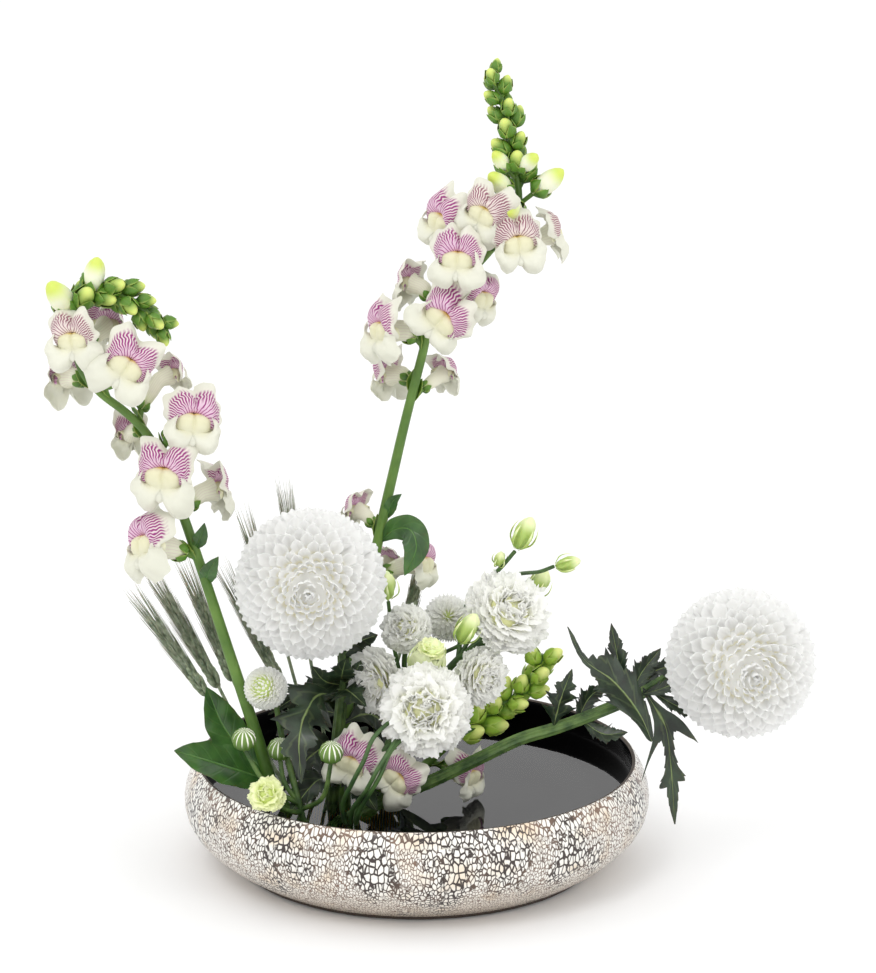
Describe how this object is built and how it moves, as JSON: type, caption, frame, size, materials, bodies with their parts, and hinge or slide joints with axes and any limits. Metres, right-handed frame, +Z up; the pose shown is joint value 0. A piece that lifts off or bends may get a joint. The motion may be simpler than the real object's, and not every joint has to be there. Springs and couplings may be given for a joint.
{
  "type": "ikebana arrangement",
  "caption": "Low ikebana arrangement of snapdragons, pompon chrysanthemums, lisianthus and barley, held by a pin holder in a wide crackle-glazed bowl of water.",
  "frame": {"origin": "centre of the bowl's foot, on the surface it stands on", "axes": "+Z up, -Y towards the viewer, +X along the reach of the low chrysanthemum stem"},
  "size_m": [0.5145, 0.32, 0.5514],
  "materials": {
    "crackle_glaze": "white crackle glaze over dark clay, black gloss inside",
    "water": "still water over a black glazed floor",
    "kenzan_metal": "dull lead base with brass pins",
    "snapdragon_petal": "matt cream petal with magenta veins on the upper lip",
    "chrysanthemum_petal": "matt white petal",
    "lisianthus_petal": "soft white petal, green-tinted in its folds",
    "green_bud": "pale green petal",
    "snapdragon_stem": "fresh green stem, bud and leaf",
    "chrysanthemum_leaf": "dark green leaf with a grey bloom",
    "spray_stem": "green stem",
    "barley": "dry grey-green ear"
  },
  "bodies": {
    "root": {"barley_1": "barley", "barley_2": "barley", "barley_3": "barley", "barley_4": "barley", "barley_5": "barley", "barley_6": "barley", "barley_7": "barley", "bowl": "crackle_glaze", "button_mum": "chrysanthemum_petal", "kenzan": "kenzan_metal", "left_floret_1": "snapdragon_petal", "left_floret_10": "snapdragon_petal", "left_floret_2": "snapdragon_petal", "left_floret_3": "snapdragon_petal", "left_floret_4": "snapdragon_petal", "left_floret_5": "snapdragon_petal", "left_floret_6": "snapdragon_petal", "left_floret_7": "snapdragon_petal", "left_floret_8": "snapdragon_petal", "left_floret_9": "snapdragon_petal", "left_pom": "chrysanthemum_petal", "left_pom_stem": "chrysanthemum_leaf", "left_snapdragon": "snapdragon_stem", "lisianthus_front": "lisianthus_petal", "lisianthus_left": "lisianthus_petal", "lisianthus_lower_right": "lisianthus_petal", "lisianthus_right": "lisianthus_petal", "lisianthus_stem_front": "spray_stem", "lisianthus_stem_rear": "spray_stem", "lisianthus_upper_left": "lisianthus_petal", "low_floret_1": "snapdragon_petal", "low_floret_2": "snapdragon_petal", "low_floret_3": "snapdragon_petal", "opening_mum": "green_bud", "rear_mum": "chrysanthemum_petal", "rear_mum_stem": "spray_stem", "right_pom": "chrysanthemum_petal", "right_pom_stem": "chrysanthemum_leaf", "short_snapdragon": "snapdragon_stem", "spray_mum_stem": "spray_stem", "tall_floret_1": "snapdragon_petal", "tall_floret_10": "snapdragon_petal", "tall_floret_11": "snapdragon_petal", "tall_floret_12": "snapdragon_petal", "tall_floret_13": "snapdragon_petal", "tall_floret_14": "snapdragon_petal", "tall_floret_2": "snapdragon_petal", "tall_floret_3": "snapdragon_petal", "tall_floret_4": "snapdragon_petal", "tall_floret_5": "snapdragon_petal", "tall_floret_6": "snapdragon_petal", "tall_floret_7": "snapdragon_petal", "tall_floret_8": "snapdragon_petal", "tall_floret_9": "snapdragon_petal", "tall_snapdragon": "snapdragon_stem", "water": "water"}
  },
  "joints": []
}
